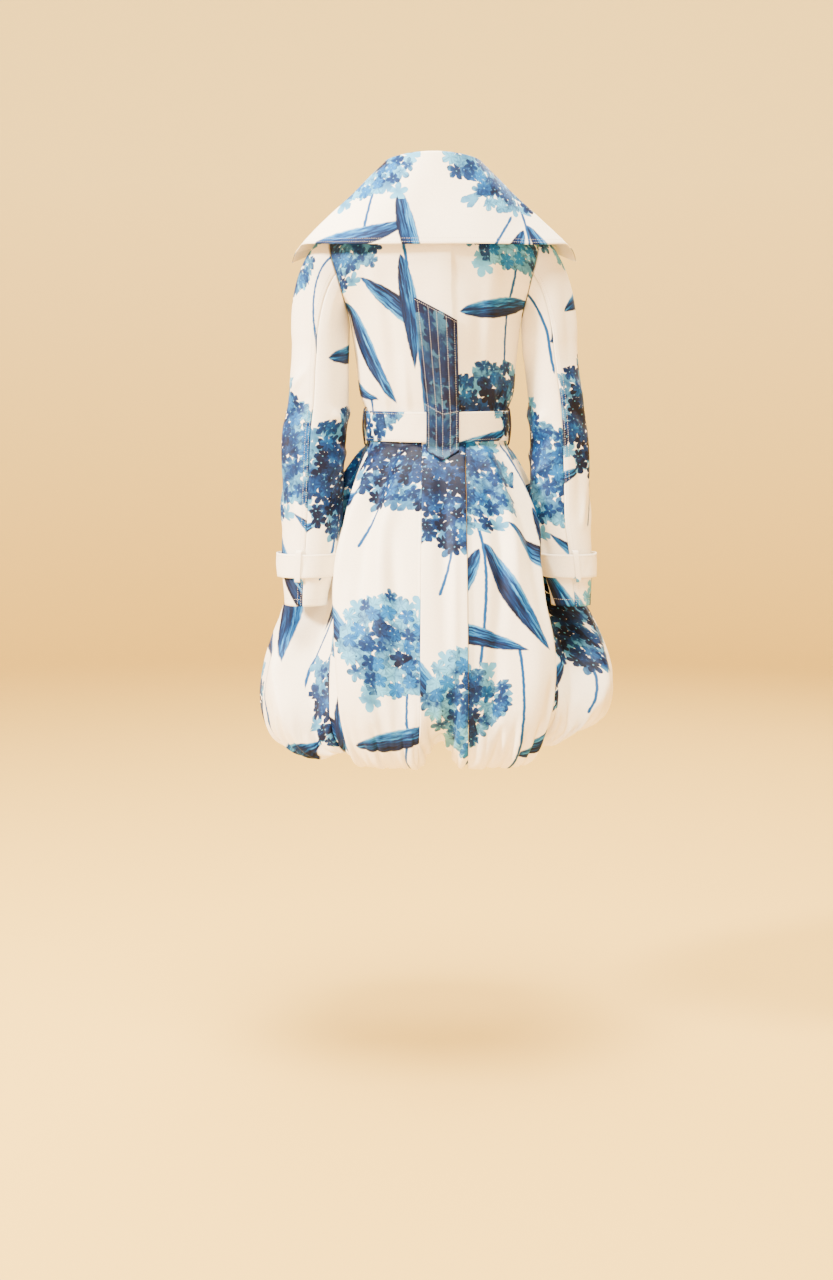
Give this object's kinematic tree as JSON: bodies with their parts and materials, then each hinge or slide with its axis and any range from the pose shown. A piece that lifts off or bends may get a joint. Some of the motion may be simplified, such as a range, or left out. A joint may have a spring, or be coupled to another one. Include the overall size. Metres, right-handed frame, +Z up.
{
  "type": "shirt dress",
  "caption": "Belted shirt dress in floral printed cloth, with a wide cape collar, long sleeves with wrist straps, a back tab and a gathered bubble skirt, as worn",
  "frame": {"origin": "midway between the shoulders, level with the top of the shoulder seams at the neck, where the wearer holds the dress", "axes": "+Z up, -Y towards the front of the dress, +X towards the wearer's left"},
  "size_m": [0.6265, 0.5201, 1.0422],
  "materials": {
    "printed_cloth": "crisp cotton and silk cloth with a slight sheen, cream with a blue flower print",
    "tab_cloth": "the same cloth cut from the dark part of the print, stitched in rows",
    "covered_buckle": "buckle frame covered in the dress's own cloth",
    "button": "smooth cream buttons"
  },
  "bodies": {
    "root": {"bodice_back": "printed_cloth", "bodice_front_left": "printed_cloth", "bodice_front_right": "printed_cloth", "collar": "printed_cloth", "collar_stand": "printed_cloth", "sleeve_left_top": "printed_cloth", "sleeve_left_under": "printed_cloth", "sleeve_right_top": "printed_cloth", "sleeve_right_under": "printed_cloth", "skirt_back_left": "printed_cloth", "skirt_back_pleat": "printed_cloth", "skirt_back_right": "printed_cloth", "skirt_side_right": "printed_cloth", "skirt_front_right": "printed_cloth", "skirt_front_left": "printed_cloth", "skirt_side_left": "printed_cloth", "belt": "printed_cloth", "belt_loop_left": "printed_cloth", "belt_loop_right": "printed_cloth", "cuff_strap_left": "printed_cloth", "cuff_keeper_left": "printed_cloth", "cuff_strap_right": "printed_cloth", "cuff_keeper_right": "printed_cloth", "back_tab": "tab_cloth", "belt_buckle": "covered_buckle", "button_1": "button", "button_2": "button", "button_3": "button", "button_4": "button", "button_5": "button", "button_6": "button", "button_7": "button", "cuff_button_left": "button", "cuff_button_right": "button"}
  },
  "joints": []
}
